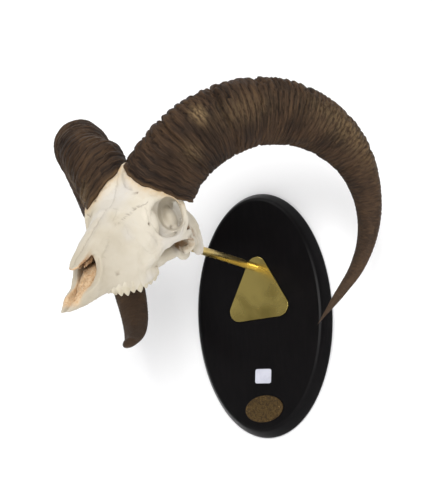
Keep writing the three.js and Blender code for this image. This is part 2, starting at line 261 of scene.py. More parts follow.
def boneMaterial():
    material, tree, shader = startMaterial("dryBone")
    place = placeOn(tree)
    cloud = noise(tree, place, 26, 3)
    haze = noise(tree, place, 19, 2)
    blot = noise(tree, place, 150, 4)
    fine = noise(tree, place, 240, 5, 0.62)
    decay = noise(tree, place, 420, 3)
    fleck = noise(tree, place, 420, 5, 0.65)
    speck = noise(tree, place, 900, 3)
    cool = times(tree, spread(tree, haze, 0.5, 0.72), 0.55)
    warm = spread(tree, fine, 0.56, 0.78, 0, 0.35)
    greyed = within(tree, "muzzle", spread(tree, cloud, 0.25, 0.7, 0.6, 1))
    tanned = within(tree, "foot", spread(tree, fine, 0.3, 0.7, 0.35, 0.9))
    ivory = within(tree, "teeth", spread(tree, fine, 0.25, 0.75, 0.5, 1))
    worn = within(tree, "teeth", spread(tree, decay, 0.6, 0.85, 0, 0.6))
    inside = within(tree, "nose", spread(tree, fine, 0.2, 0.7, 0.75, 1))
    flecked = within(tree, "nose", spread(tree, fleck, 0.44, 0.7, 0, 0.75))
    # brown stains round the ear, and painted shade under the cheek arch
    stainAndArchShadeShare = within(tree, "stainAndArchShade", spread(tree, blot, 0.3, 0.56))
    colour = blendColour(tree, spread(tree, cloud, 0.35, 0.7), paint(202, 194, 178), paint(190, 180, 160))
    colour = layered(tree, colour, (cool, (198, 194, 190)), (warm, (196, 180, 150)),
                     (greyed, (178, 168, 149)), (tanned, (200, 168, 122)), (ivory, (186, 176, 152)),
                     (worn, (150, 122, 76)), (inside, (206, 176, 138)), (flecked, (168, 122, 80)),
                     # painted shade under the roof of the nose
                     (maskOf(tree, "noseRoofShade"), (122, 82, 44)), (stainAndArchShadeShare, (132, 102, 70)),
                     # the seams' own dark colour, and painted shade in the holes
                     (maskOf(tree, "seamDarkAndHoleShade"), (74, 52, 36)))
    relief = reliefOf(tree, fine, 0.35, 0.0005)
    relief = reliefOf(tree, speck, 0.2, 0.0002, relief)
    finish(tree, shader, {"Base Color": colour, "Roughness": spread(tree, cloud, 0.3, 0.7, 0.52, 0.68),
                          "Normal": relief, "Specular IOR Level": 0.35})
    return material


def hornMaterial():
    material, tree, shader = startMaterial("ramHorn")
    streak = noise(tree, placeOn(tree, "UV", (8, 430, 1)), 1, 5, 0.62, 0.5)
    band = noise(tree, placeOn(tree, "UV", (5, 130, 1)), 1, 4, 0.62, 0.7)
    patch = noise(tree, placeOn(tree, "UV", (3.2, 17, 1)), 1, 3, 0.55, 0.4)
    chips = noise(tree, placeOn(tree, "UV", (26, 300, 1)), 1, 3, 0.6)
    lines = times(tree, spread(tree, streak, 0.42, 0.68), 0.6)
    rubbed = times(tree, spread(tree, band, 0.5, 0.66), spread(tree, patch, 0.4, 0.62))
    tan = within(tree, "tan", spread(tree, chips, 0.36, 0.62, 0.15, 1))
    tip = spread(tree, maskOf(tree, "share"), 0.55, 1, 0, 0.6)
    edge = within(tree, "rim", spread(tree, chips, 0.3, 0.6, 0.3, 0.9))
    colour = blendColour(tree, spread(tree, patch, 0.35, 0.65), paint(37, 28, 22), paint(60, 45, 33))
    colour = layered(tree, colour, (lines, (84, 64, 47)), (times(tree, rubbed, 0.45), (88, 67, 45)),
                     (tan, (146, 122, 88)), (tip, (78, 63, 51)),
                     # the grooves between the growth rings darkened: painted shade
                     (within(tree, "groove", 1.5), (22, 17, 15)), (edge, (88, 68, 47)))
    relief = reliefOf(tree, band, 1.0, 0.0018)
    relief = reliefOf(tree, streak, 0.8, 0.0007, relief)
    finish(tree, shader, {"Base Color": colour, "Roughness": spread(tree, streak, 0.3, 0.7, 0.48, 0.68),
                          "Normal": relief, "Specular IOR Level": 0.08})
    return material


def woodMaterial():
    material, tree, shader = startMaterial("blackLacqueredWood")
    grain = noise(tree, placeOn(tree, "Object", (60, 60, 9)), 4, 5, 0.6, 0.8)
    dust = noise(tree, placeOn(tree), 46, 4)
    pits = noise(tree, placeOn(tree, "Object", (260, 260, 60)), 4, 3)
    colour = blendColour(tree, spread(tree, grain, 0.35, 0.75), paint(9, 8, 9), paint(14, 12, 13))
    relief = reliefOf(tree, grain, 0.12, 0.0003)
    relief = reliefOf(tree, pits, 0.08, 0.0001, relief)
    finish(tree, shader, {"Base Color": colour, "Roughness": spread(tree, dust, 0.3, 0.7, 0.3, 0.36),
                          "Normal": relief, "Specular IOR Level": 0.07})
    return material


def brassMaterial(name, bright, dull):
    material, tree, shader = startMaterial(name)
    smear = noise(tree, placeOn(tree), 17, 3, 0.5, 0.4)
    scratch = noise(tree, placeOn(tree, "Object", (30, 30, 900)), 6, 4)
    spots = noise(tree, placeOn(tree), 420, 3)
    colour = blendColour(tree, spread(tree, smear, 0.38, 0.66), bright, dull)
    colour = layered(tree, colour, (spread(tree, spots, 0.66, 0.76, 0, 0.6), (110, 92, 48)))
    polish = spread(tree, smear, 0.3, 0.7, 0.17, 0.34)
    finish(tree, shader, {"Base Color": colour, "Roughness": polish, "Metallic": 1.0,
                          "Normal": reliefOf(tree, scratch, 0.05, 0.0002)})
    return material


def agedBrassMaterial():
    material, tree, shader = startMaterial("agedBrass")
    patina = noise(tree, placeOn(tree), 330, 5, 0.6, 0.5)
    wear = noise(tree, placeOn(tree), 620, 4, 0.6)
    colour = blendColour(tree, spread(tree, patina, 0.4, 0.62), paint(98, 78, 47), paint(66, 52, 34))
    colour = layered(tree, colour, (spread(tree, wear, 0.62, 0.78, 0, 0.35), (150, 128, 82)))
    finish(tree, shader, {"Base Color": colour, "Roughness": spread(tree, patina, 0.35, 0.65, 0.24, 0.46),
                          "Metallic": 0.85, "Normal": reliefOf(tree, patina, 0.4, 0.0004)})
    return material


def paperMaterial():
    material, tree, shader = startMaterial("labelPaper")
    fibre = noise(tree, placeOn(tree), 900, 4)
    toned = noise(tree, placeOn(tree), 130, 2)
    colour = blendColour(tree, spread(tree, toned, 0.35, 0.7), paint(192, 193, 204), paint(182, 183, 195))
    finish(tree, shader, {"Base Color": colour, "Roughness": 0.75,
                          "Normal": reliefOf(tree, fibre, 0.2, 0.0001)})
    return material


# Camera, walls and light

viewSettings = {
    "place": (0.8479, -1.6730, -0.3201),
    "forward": (-0.4662, 0.8586, 0.2130),
    "roll": -3.4,
    "lens": 116.3,
    "sensor": 36,
    "near": 0.05,
    "far": 50,
}
stageSettings = {
    "wallGap": 0.0015,
    "size": 4.0,
    "floorLevel": -0.75,
    "colour": (0.955, 0.955, 0.96, 1),
    "roughness": 0.9,
}
lightSettings = [
    {"name": "keyBox", "place": (1.9, -4.0, 0.72), "size": 1.7, "power": 110},
    {"name": "leftBox", "place": (-3.4, -3.2, 0.6), "size": 2.4, "power": 8},
    {"name": "topBox", "place": (-0.3, -2.2, 3.6), "size": 2.2, "power": 42},
    {"name": "lowBox", "place": (0.3, -2.0, -0.72), "size": 1.1, "power": 3},
]
lightAim = (0, -0.2, 0)
worldStrength = 0.53


def makeCamera():
    data = bpy.data.cameras.new("photoCamera")
    data.sensor_width = viewSettings["sensor"]
    data.lens = viewSettings["lens"]
    data.clip_start = viewSettings["near"]
    data.clip_end = viewSettings["far"]
    camera = bpy.data.objects.new("photoCamera", data)
    bpy.context.scene.collection.objects.link(camera)
    camera.rotation_mode = "QUATERNION"
    turn = Vector(viewSettings["forward"]).to_track_quat("-Z", "Y").to_matrix().to_4x4()
    roll = Matrix.Rotation(math.radians(viewSettings["roll"]), 4, "Z")
    camera.matrix_world = Matrix.Translation(viewSettings["place"]) @ turn @ roll
    bpy.context.scene.camera = camera


def makeStage():
    wallPaint, tree, shader = startMaterial("stagePaint")
    finish(tree, shader, {"Base Color": stageSettings["colour"], "Roughness": stageSettings["roughness"]})
    size = stageSettings["size"]
    deselectAll()
    bpy.ops.mesh.primitive_plane_add(size=size, location=(0, stageSettings["wallGap"], 0),
                                     rotation=(math.pi / 2, 0, 0))
    wall = newest("stageWall")
    deselectAll()
    bpy.ops.mesh.primitive_plane_add(size=size, location=(0, -size / 2, stageSettings["floorLevel"]))
    floor = newest("stageFloor")
    for surface in (wall, floor):
        surface.data.materials.append(wallPaint)


def makeLights():
    aim = Vector(lightAim)
    for setting in lightSettings:
        data = bpy.data.lights.new(setting["name"], "AREA")
        data.shape = "SQUARE"
        data.size = setting["size"]
        data.energy = setting["power"]
        light = bpy.data.objects.new(setting["name"], data)
        bpy.context.scene.collection.objects.link(light)
        place = Vector(setting["place"])
        turn = (aim - place).to_track_quat("-Z", "Y").to_matrix().to_4x4()
        light.matrix_world = Matrix.Translation(place) @ turn
    world = bpy.data.worlds.new("studio")
    world.use_nodes = True
    sky = world.node_tree.nodes["Background"]
    finish(world.node_tree, sky, {"Color": (1, 1, 1, 1), "Strength": worldStrength})
    bpy.context.scene.world = world
    bpy.context.scene.view_settings.view_transform = "Standard"


# Horns: the same conical spiral that the frame's horns follow

hornShape = {
    "spiralRadius": 137.6,
    "tightening": (-0.025, 0.043),
    "rise": 114.9,
    "lean": -5.91,
    "meetingTurn": 0.9,
    "flareEnd": 0.1,
    "roundedTip": 0.02,
    "tipClosing": 0.96,
    "egg": 0.14,
    "apart": 0.45,
    "slimmer": 0.95,
    "step": 0.002,           # short way along the horn, to find its direction
}
hornSides = [
    # "tan" is the pale patches: place along, angle round, half length, half width, girth there, strength
    {"name": "hornLeft", "node": "horn_left", "mirror": 1, "centre": (174.7, -62.4, -26.1),
     "turn": (-71.7, -43.5, -121.4), "sweep": 3.539, "start": -0.045, "notch": 15, "flare": 4,
     "straightFrom": 0.87, "end": 1.035, "wear": 0, "seed": 7,
     "tan": ((97, 0.8, 8, 11, 38, 0.85), (64, 1.5, 10, 11, 38, 0.3), (150, 1.2, 40, 14, 34, 0.22),
             (300, 1.0, 60, 14, 24, 0.4))},
    {"name": "hornRight", "node": "horn_right", "mirror": -1, "centre": (169.7, -29.9, -31.9),
     "turn": (-67.1, -56.2, -114.5), "sweep": 4.065, "start": -0.054, "notch": 28, "flare": 17,
     "straightFrom": 0.99, "end": 0.955, "wear": 0.13, "seed": 11,
     "tan": ((18, 5.2, 14, 18, 38, 0.5), (60, 4.6, 22, 20, 36, 0.4))},
]
sectionBroad = profile((-0.2, 43.4), (0, 43.4), (0.12, 41.8), (0.28, 37.2), (0.45, 27.7), (0.62, 15.6),
                       (0.78, 8.1), (0.9, 6.2), (1, 0.8))
sectionThin = profile((-0.2, 25.5), (0, 26.1), (0.12, 31.7), (0.28, 29.2), (0.45, 25.9), (0.62, 20.2),
                      (0.78, 14.4), (0.9, 7), (1, 0.8))
sheath = {
    "around": 112,
    "rows": 520,
    "rimRows": ((0.05, 0.76), (0.03, 0.79), (0.008, 0.84), (0.0, 0.9), (-0.003, 0.95), (-0.001, 0.99)),
    "rimTravel": (-12, -0.5),
    "footFade": (-1, 3),     # the relief fades in at the foot and out towards the tip
    "tipFade": 25,
    "rimTan": 1.8,
}
growth = {
    "ringAtFoot": 10.5,      # length of one growth ring near the foot, and near the tip
    "ringAtTip": 4.2,
    "ringHeight": 4.0,
    "firstRing": -6.0,
    "uneven": (0.7, 1.3),    # length and height of single rings against the usual
    "unevenHeight": (0.45, 1.2),
    "wander": (3.2, 1.1),    # how far the rings wander, in broad and in fine waves
    "skew": 0.85,
    "broadLumps": 0.7,
    "wrinkle": 3.1,          # length of the fine wrinkles between the rings
    "wrinkleHeight": 0.42,
    "yearMarks": (34, 61, 108, 128, 176, 236, 300, 352),
    "yearWidth": 2.2,
    "yearDepth": 4.2,
    "chips": ((0.5, 5, 1), (0.4, 11, 2), (0.3, 19, 0)),    # broken edge of the foot: height, count, turn
    "keel": (0.42, 1.3),     # height of the rings on the inner side, and how sharp the keel is
    "ringTop": 0.75,
    "sink": 0.9,             # the rings lie this much lower, and never stand out more than the crest
    "crest": 0.5,
}


def spiralTurn(side):
    turns = [Matrix.Rotation(math.radians(angle), 3, axis) for angle, axis in zip(side["turn"], "XYZ")]
    return turns[0] @ turns[1] @ turns[2]


def hornCentre(side, s):
    if s > side["straightFrom"]:
        step = hornShape["step"]
        last = hornCentre(side, side["straightFrom"])
        way = last - hornCentre(side, side["straightFrom"] - step)
        return last + way * ((s - side["straightFrom"]) / step)
    angle = s * side["sweep"]
    first, second = hornShape["tightening"]
    shrink = math.exp(-first * angle - second * angle ** 2)
    point = Vector((
        hornShape["spiralRadius"] * math.cos(angle) * shrink,
        hornShape["spiralRadius"] * math.sin(angle) * shrink,
        hornShape["rise"] * shrink + hornShape["lean"] * (angle / 4) ** 2,
    ))
    point = spiralTurn(side) @ point + Vector(side["centre"])
    point.x *= side["mirror"]
    return point


def hornFrame(side, s):
    axis = spiralTurn(side) @ Vector((0, 0, 1))
    flip = Vector((side["mirror"], 1, 1))
    axis = axis * flip
    centre = Vector(side["centre"]) * flip
    step = hornShape["step"]
    point = hornCentre(side, s)
    forward = (hornCentre(side, s + step) - hornCentre(side, s - step)).normalized()
    outward = point - centre
    outward -= axis * outward.dot(axis)
    outward = (outward - forward * outward.dot(forward)).normalized()
    return point, forward, outward, forward.cross(outward)


def raised(rings, relief):
    # the rings with each point moved out of the surface by its relief
    normal = np.cross(np.roll(rings, -1, 1) - np.roll(rings, 1, 1), np.gradient(rings, axis=0))
    normal /= np.linalg.norm(normal, axis=2, keepdims=True) + 1e-9
    if np.sum(normal * (rings - rings.mean(1, keepdims=True))) < 0:
        normal = -normal
    return rings + normal * relief[:, :, None]


def hornRings(side, places, scales, around, relief=None):
    # one ring of points for each place along the horn, in millimetres in the skull's frame
    angles = np.linspace(0, 2 * math.pi, around, endpoint=False)
    rings = []
    for s, scale in zip(places, scales):
        point, forward, outward, across = (np.array(v) for v in hornFrame(side, s))
        grown = s / side["end"] * (1 - side["wear"])
        nearTip = min(1, max(0, 1 - (side["end"] - s) / hornShape["roundedTip"]))
        closing = math.sqrt(1 - hornShape["tipClosing"] * nearTip ** 2)
        foot = float(smoothStep(hornShape["flareEnd"] - s, 0, hornShape["flareEnd"]))
        egg = 1 + hornShape["egg"] * np.cos(angles)
        broad = (float(sectionBroad(grown)) * scale - hornShape["slimmer"]) * closing
        thin = (float(sectionThin(grown)) * scale - hornShape["slimmer"]) * closing * egg
        meeting = (0.5 + 0.5 * np.cos(angles + side["mirror"] * hornShape["meetingTurn"])) ** 3
        chipped = sum(height * np.sin(count * angles + turn) for height, count, turn in growth["chips"])
        ring = point + np.outer(side["notch"] * foot * meeting + foot ** 4 * chipped, forward)
        ring = ring + (np.outer(broad * np.cos(angles), outward) + np.outer(thin * np.sin(angles), across))
        ring[:, 0] -= side["mirror"] * side["flare"] * foot ** 3 * meeting
        rings.append(ring)
    rings = np.array(rings)
    if relief is not None:
        rings = raised(rings, relief)
    inner = rings[:, :, 0] * side["mirror"] < hornShape["apart"]
    rings[:, :, 0] = np.where(inner, side["mirror"] * hornShape["apart"], rings[:, :, 0])
    return rings


def ringRelief(side, along, angles, fade):
    # height of the surface over the plain horn: growth rings, year marks and fine wrinkles; and how far down
    # in a groove between rings each point lies, for the painted shade there
    rng = np.random.default_rng(side["seed"])
    total = along[-1]
    edges = [growth["firstRing"]]
    while edges[-1] < total + 12:
        share = min(1, max(0, edges[-1] / total))
        length = growth["ringAtFoot"] + (growth["ringAtTip"] - growth["ringAtFoot"]) * share ** 0.6
        edges.append(edges[-1] + length * rng.uniform(*growth["uneven"]))
    edges = np.array(edges)
    heights = rng.uniform(*growth["unevenHeight"], len(edges))
    flat = np.stack(np.meshgrid(along, angles, indexing="ij"), -1)
    spots = np.stack([flat[..., 0] * 0.012, np.cos(flat[..., 1]) * 0.5, np.sin(flat[..., 1]) * 0.5], -1)
    shape = spots.shape[:2]
    spots = spots.reshape(-1, 3)
    wave = softNoise(spots, 1.1, side["seed"]).reshape(shape)
    finer = softNoise(spots, 3.0, side["seed"] + 1).reshape(shape)
    place = flat[..., 0] + growth["wander"][0] * wave + growth["wander"][1] * finer
    i = np.clip(np.searchsorted(edges, place) - 1, 0, len(edges) - 2)
    phase = np.clip((place - edges[i]) / (edges[i + 1] - edges[i]), 0, 1)
    swell = np.sqrt(np.clip(np.sin(math.pi * phase ** growth["skew"]), 0, 1))
    low, sharpness = growth["keel"]
    keel = low + (1 - low) * (0.5 + 0.5 * np.cos(flat[..., 1])) ** sharpness
    share = np.clip(flat[..., 0] / total, 0, 1)
    strong = (1 - smoothStep(share, 0.35, 0.9)) * 0.85 + 0.15 * (1 - smoothStep(share, 0.9, 1))
    height = growth["ringHeight"] * (swell - growth["ringTop"]) * heights[i] * keel * strong
    wrinkles = np.sin(2 * math.pi * (place + 1.5 * finer) / growth["wrinkle"])
    height += growth["wrinkleHeight"] * wrinkles * (0.5 + 0.5 * finer) * (0.35 + 0.65 * strong)
    for mark in growth["yearMarks"]:
        mark = mark * rng.uniform(0.97, 1.03)
        cut = np.exp(-((place - mark) / growth["yearWidth"]) ** 2)
        height -= growth["yearDepth"] * cut * keel * strong * rng.uniform(0.5, 1)
    height += growth["broadLumps"] * wave * strong
    groove = np.clip(growth["ringTop"] - swell, 0, 1) * strong
    height = np.minimum(height - growth["sink"], growth["crest"])
    return height * fade[:, None], groove


def makeSleeve(name, around, rows):
    # a grid to be bent into a sleeve, with the row and the column of each of its points
    deselectAll()
    bpy.ops.mesh.primitive_grid_add(x_subdivisions=around, y_subdivisions=rows - 1, size=2)
    sleeve = newest(name)
    grid = readPoints(sleeve.data)
    column = np.rint((grid[:, 0] + 1) / 2 * around).astype(int)
    row = np.rint((grid[:, 1] + 1) / 2 * (rows - 1)).astype(int)
    return sleeve, row, column


def closeEnds(piece, tolerance):
    editAll(piece, bpy.ops.mesh.remove_doubles, threshold=tolerance)
    bpy.ops.object.mode_set(mode="EDIT")
    bpy.ops.mesh.select_all(action="DESELECT")
    bpy.ops.mesh.select_mode(type="EDGE")
    bpy.ops.mesh.select_non_manifold(extend=False)
    bpy.ops.mesh.edge_face_add()
    bpy.ops.mesh.select_mode(type="VERT")
    bpy.ops.object.mode_set(mode="OBJECT")
    turnOutward(piece)


def makeHorn(side):
    around, rows = sheath["around"], sheath["rows"]
    outer = np.linspace(side["start"], side["end"], rows)
    rim = [(side["start"] + s, k) for s, k in sheath["rimRows"]]
    places = np.concatenate([[s for s, k in rim], outer])
    scales = np.concatenate([[k for s, k in rim], np.ones(rows)])
    angles = np.linspace(0, 2 * math.pi, around, endpoint=False)
    plain = hornRings(side, outer, np.ones(rows), 8)
    keelLine = plain[:, 0]
    along = np.concatenate([[0], np.cumsum(np.linalg.norm(np.diff(keelLine, axis=0), axis=1))])
    total = along[-1]
    fade = smoothStep(along, *sheath["footFade"]) * (1 - smoothStep(along, total - sheath["tipFade"], total))
    relief, groove = ringRelief(side, along, angles, fade)
    padding = np.zeros((len(rim), around))  # the rim itself stays plain
    rings = hornRings(side, places, scales, around, np.concatenate([padding, relief]))
    grooves = np.concatenate([padding, groove])
    travel = np.concatenate([np.linspace(*sheath["rimTravel"], len(rim)), along])

    horn, row, column = makeSleeve(side["name"], around, len(places))
    placed = rings[row, column % around] * mm
    for loop, layer in zip(horn.data.loops, horn.data.uv_layers[0].data):
        corner = loop.vertex_index
        layer.uv = (column[corner] / around, travel[row[corner]] * mm)
    writePoints(horn.data, placed)
    horn.data.transform(headMatrix)
    # painted shade in the grooves between the rings
    writeMask(horn.data, "groove", grooves[row, column % around])
    share = np.clip(travel / travel[-1], 0, 1)
    writeMask(horn.data, "share", share[row])
    rimBand = np.exp(-(np.clip(travel, -2, 99) / sheath["rimTan"]) ** 2)
    writeMask(horn.data, "rim", rimBand[row])
    tan = np.zeros(len(row))
    for middle, angle, long, wide, girth, strength in side["tan"]:
        away = (angles[column % around] - angle + math.pi) % (2 * math.pi) - math.pi
        reach = (away * girth / wide) ** 2 + ((travel[row] - middle) / long) ** 2
        tan = np.maximum(tan, strength * np.exp(-reach))
    writeMask(horn.data, "tan", tan)
    closeEnds(horn, 1e-6)
    smoothShade(horn)
    return horn


# Skull

skullForm = {
    "roughVoxel": 1.5,       # millimetres
    "voxel": 1.05,
    "cutterVoxel": 1.3,
    "smoothing": 5,
    "triangles": 100000,
    "footTan": 7,            # reach of the tan on the bone round the horn's foot
    "refineReach": 2.0,
    "boneAround": 36,
    "boneSteps": ((-0.15, 0.93, 12), (-0.012, 0.95, 14), (-0.002, 0.93, 14), (0.004, 0.88, 13),
                  (0.03, 0.76, 6)),
}


def at(forward, up, side=0):
    return Vector((side, -forward, up))


def pathOn(side, places):
    # (forward, up, side) places, on the left where side is 1 and on the right where it is -1
    return [at(forward, up, side * out) for forward, up, out in places]


def makeBall(place, radii, turn=(0, 0, 0)):
    # an egg-shaped lump in the skull's frame, in millimetres
    deselectAll()
    bpy.ops.mesh.primitive_uv_sphere_add(segments=24, ring_count=12, radius=1)
    ball = newest("ball")
    shape = Matrix.Diagonal((*radii, 1))
    ball.data.transform(Matrix.Translation(place) @ Euler(turn).to_matrix().to_4x4() @ shape)
    return ball


def makeLimb(points, radii, flat=1.0, around=12, steps=16):
    # a tapered rod through named places, in the skull's frame; flat is its width against its height
    path = np.array([list(point) for point in points], float)
    places = np.linspace(0, 1, len(path))
    lines = [profile(*zip(places, path[:, axis])) for axis in range(3)]
    width = profile(*zip(np.linspace(0, 1, len(radii)), radii))
    deselectAll()
    bpy.ops.mesh.primitive_cylinder_add(vertices=around, radius=1, depth=2, end_fill_type="NGON")
    limb = newest("limb")
    bpy.ops.object.mode_set(mode="EDIT")
    for step in range(1, steps):
        bpy.ops.mesh.select_all(action="SELECT")
        bpy.ops.mesh.bisect(plane_co=(0, 0, 1 - 2 * step / steps), plane_no=(0, 0, 1))
    bpy.ops.object.mode_set(mode="OBJECT")
    unit = readPoints(limb.data)
    t = (unit[:, 2] + 1) / 2
    centre = np.stack([line(t) for line in lines], 1)
    later, earlier = np.clip(t + 0.01, 0, 1), np.clip(t - 0.01, 0, 1)
    ahead = np.stack([line(later) - line(earlier) for line in lines], 1)
    ahead /= np.linalg.norm(ahead, axis=1, keepdims=True)
    sideways = np.cross(ahead, [0, 0, 1.0])
    sideways /= np.linalg.norm(sideways, axis=1, keepdims=True) + 1e-9
    upwards = np.cross(sideways, ahead)
    reach = width(t)[:, None]
    wall = sideways * unit[:, :1] * reach * flat
    writePoints(limb.data, centre + wall + upwards * unit[:, 1:2] * reach)
    turnOutward(limb)
    return limb


def makeHornCore(side):
    # the bony core that carries the horn: as wide as its foot in front, well inside it behind
    steps = skullForm["boneSteps"]
    start = side["start"]
    places = [s if i == 0 else start + s for i, (s, k, inset) in enumerate(steps)]
    around = skullForm["boneAround"]
    angles = np.linspace(0, 2 * math.pi, around, endpoint=False)
    behind = (0.5 - 0.5 * np.cos(angles)) ** 3
    relief = np.array([-inset * behind for s, k, inset in steps])
    rings = hornRings(side, places, [k for s, k, inset in steps], around, relief)
    core, row, column = makeSleeve("core", around, len(places))
    writePoints(core.data, rings[row, column % around])
    closeEnds(core, 1e-4)
    return core


def remeshed(piece, voxel, smoothing):
    remesh = piece.modifiers.new("remesh", "REMESH")
    remesh.mode = "VOXEL"
    remesh.voxel_size = voxel
    if smoothing:
        soften = piece.modifiers.new("soften", "SMOOTH")
        soften.factor = 0.5
        soften.iterations = smoothing
    applyModifiers(piece)


def cutAway(piece, cutters):
    for cutter in cutters:
        remeshed(cutter, skullForm["cutterVoxel"], 0)
        cut = piece.modifiers.new("cut", "BOOLEAN")
        cut.operation = "DIFFERENCE"
        cut.solver = "MANIFOLD"
        cut.object = cutter
        applyModifiers(piece)
        bpy.data.objects.remove(cutter)


def mirrored(build):
    # the same forms on both sides: side is 1 on the left and -1 on the right
    return [piece for side in (1, -1) for piece in build(side)]


def boneLumps(side):
    # forms that swell the plain skull: base, back of the cheek arch, edge of the back of the head
    archBack = pathOn(side, ((88, 28, 46), (74, 27.5, 48), (59, 26.5, 47), (45, 23, 43)))
    earRidge = pathOn(side, ((60, 16, 44), (46, 22, 42), (34, 30, 36), (24, 38, 33)))
    jawJoint = pathOn(side, ((58, 8, 33), (52, 10, 40), (50, 13, 46)))
    noseBone = pathOn(side, ((132, 72, 5), (170, 55, 5), (200, 42, 5), (221, 32.5, 4)))
    return [
        makeBall(at(58, 9, side * 17), (9, 32, 8)),
        makeBall(at(17, 7, side * 30), (4.5, 9, 13), (0.1, 0, 0)),
        makeBall(at(33, 22, side * 36), (6, 10, 8)),
        makeLimb(archBack, (4.6, 4, 4, 4), flat=0.55),
        makeLimb(earRidge, (3.5, 4, 3.6, 2), flat=0.8),
        makeLimb(jawJoint, (5, 4.5, 4), flat=1.6),
        makeLimb(noseBone, (4.5, 4, 3.2, 1.4), flat=1.5),
    ]


def eyeRing(side):
    # the raised bony ring round the eye: a thin front edge and a broad bar behind
    ring = pathOn(side, ((112, 66, 39), (102, 74, 43.5), (88, 77, 46), (72, 71, 47), (64, 57, 48.5),
                         (65, 43, 49.5), (77, 31, 48.5), (93, 27, 46.5), (108, 30, 43), (117, 39, 40)))
    radii = (1.4, 2.4, 3.2, 3.8, 3.9, 3.9, 3.9, 3.2, 2.2, 1.4)
    return makeLimb(ring, radii, flat=0.85, around=14, steps=40)


def boneHollows(side):
    # what is cut out of it: the deep eye socket, the gap behind it, ear and palate openings
    noseGap = pathOn(side, ((195.5, 39, 15), (203, 30.5, 15), (213, 22, 15), (226, 18, 15), (240, 15, 15),
                            (262, 12, 15)))
    archEdge = pathOn(side, ((106, 19.5, 47), (91, 18.5, 49), (76, 17, 49.5), (61, 14.5, 47)))
    return [
        makeBall(at(92, 50.5, side * 45.5), (17.5, 18.5, 21.5), (0.06, 0, side * 0.51)),
        makeBall(at(75, 52.5, side * 40), (14, 23, 19), (0.1, 0, side * 0.4)),
        makeLimb(noseGap, (2.6, 8, 10, 10, 9, 9), flat=1.25, around=20),
        makeBall(at(55, 44, side * 38.5), (4.5, 13, 15), (0, 0, side * 0.1)),
        makeBall(at(34, 14, side * 42), (9, 4.2, 4.2)),
        makeBall(at(66, 13.5, side * 46), (9, 12, 6.5), (0.12, 0, 0)),
        makeLimb(archEdge, (1.6, 4.6, 5.4, 4.6), flat=2),
        makeBall(at(226, -4, side * 5.5), (2.4, 14, 5), (0.1, 0, 0)),
        makeBall(at(262, 0, side), (2.6, 22, 14)),
    ]


def boneInserts(side):
    # what stands in the hollows afterwards: the ring's edge and the wall of the braincase behind it
    return [
        eyeRing(side),
        makeBall(at(108, 49, side * 32.6), (8, 11, 16.5), (0.05, 0, side * 0.6)),
        makeBall(at(60, 43.5, side * 28.5), (8.5, 12, 14), (0.05, 0, side * 0.5)),
        makeBall(at(57, 51, side * 25), (8, 11, 9), (0, 0, side * 0.4)),
    ]


noseScrolls = [
    # each scroll in the nose: its places, its radii, and its width against its height
    (((160, 40, 4), (186, 38, 4.5), (198, 34, 4), (206, 30, 3)), (6, 4.6, 3, 1.0), 0.7),
    (((160, 19, 3), (184, 17.5, 3), (205, 10, 2.4), (228, 2, 1.2)), (12, 10.5, 7.2, 2), 0.8),
]
toothForm = {
    "facets": 14,
    "cuts": 7,
    "point": 0.16,           # width of a cusp's point against its foot
    "root": 5,               # height of its foot, inside the jaw
    "cusps": ((0.8, 1.0), (-3.4, 0.8)),    # outer and inner cusp: place across, and share of the drop
    "lean": 0.5,
    "widen": 0.62,
    "lengthen": 1.3,
    "gumLift": 3.4,
    "gumInset": 0.4,
    "voxel": 0.8,
    "smoothing": 2,
}
toothRow = {"back": 112, "front": 192, "halfWidth": 8.5}
toothCusps = [
    # forward, how far its point hangs down, half length, half width
    (186.5, 4.5, 3.4, 3.4), (178.5, 9.5, 3.9, 4.0), (170.5, 11.5, 4.2, 4.6), (161.5, 11.0, 4.3, 4.8),
    (152.0, 13.2, 4.8, 5.2), (142.0, 11.6, 4.8, 5.2), (132.0, 10.4, 4.8, 5.0), (122.5, 8.8, 4.6, 4.6),
    (115.5, 5.2, 3.4, 3.8),
]
toothLine = profile((114, 28), (140, 27.5), (165, 23), (190, 15.5))
cuspWidth = profile((0, 1), (0.6, 1.0), (0.72, 0.88), (0.88, 0.54), (1, 0.14))
toothNotch = profile((112, -1), (118, -2.5), (132, -5), (152, -8.2), (172, -6.4), (186, -3), (192, 0))


def makeCusp(side, tooth, reach, share):
    forward, drop, length, width = tooth
    deselectAll()
    bpy.ops.mesh.primitive_cone_add(vertices=toothForm["facets"], radius1=1, radius2=toothForm["point"],
                                    depth=2, rotation=(math.pi, 0, 0))
    cusp = newest("cusp")
    applyPlace(cusp)
    editAll(cusp, bpy.ops.mesh.subdivide, number_cuts=toothForm["cuts"])
    points = readPoints(cusp.data)
    fall = (1 - points[:, 2]) / 2
    swell = cuspWidth(fall) / (1 - (1 - toothForm["point"]) * fall)
    low = toothForm["root"] - fall * (drop * share + toothForm["root"])
    middle = float(toothLine(forward)) + reach
    spreadOut = points[:, 0] * swell * width * toothForm["widen"]
    out = side * (middle + spreadOut + toothForm["lean"] * fall * reach)
    along = forward + points[:, 1] * swell * length * toothForm["lengthen"]
    writePoints(cusp.data, np.stack([out, -along, low], 1))
    turnOutward(cusp)
    return cusp


def makeTeeth():
    teeth = []
    for side in (1, -1):
        teeth += [makeCusp(side, tooth, *cusp) for tooth in toothCusps for cusp in toothForm["cusps"]]
        gum = [(f, float(toothNotch(f)) + toothForm["gumLift"], float(toothLine(f)) - toothForm["gumInset"])
               for f in range(113, 191, 7)]
        teeth.append(makeLimb(pathOn(side, gum), (2.6, 3.6, 3.6, 3.6, 2.4), flat=1.2, around=16, steps=30))
    teeth = joinPieces(teeth)
    remeshed(teeth, toothForm["voxel"], toothForm["smoothing"])
    points = readPoints(teeth.data)
    writeMask(teeth.data, "teeth", 1 - smoothStep(points[:, 2], -5, 3))
    return teeth


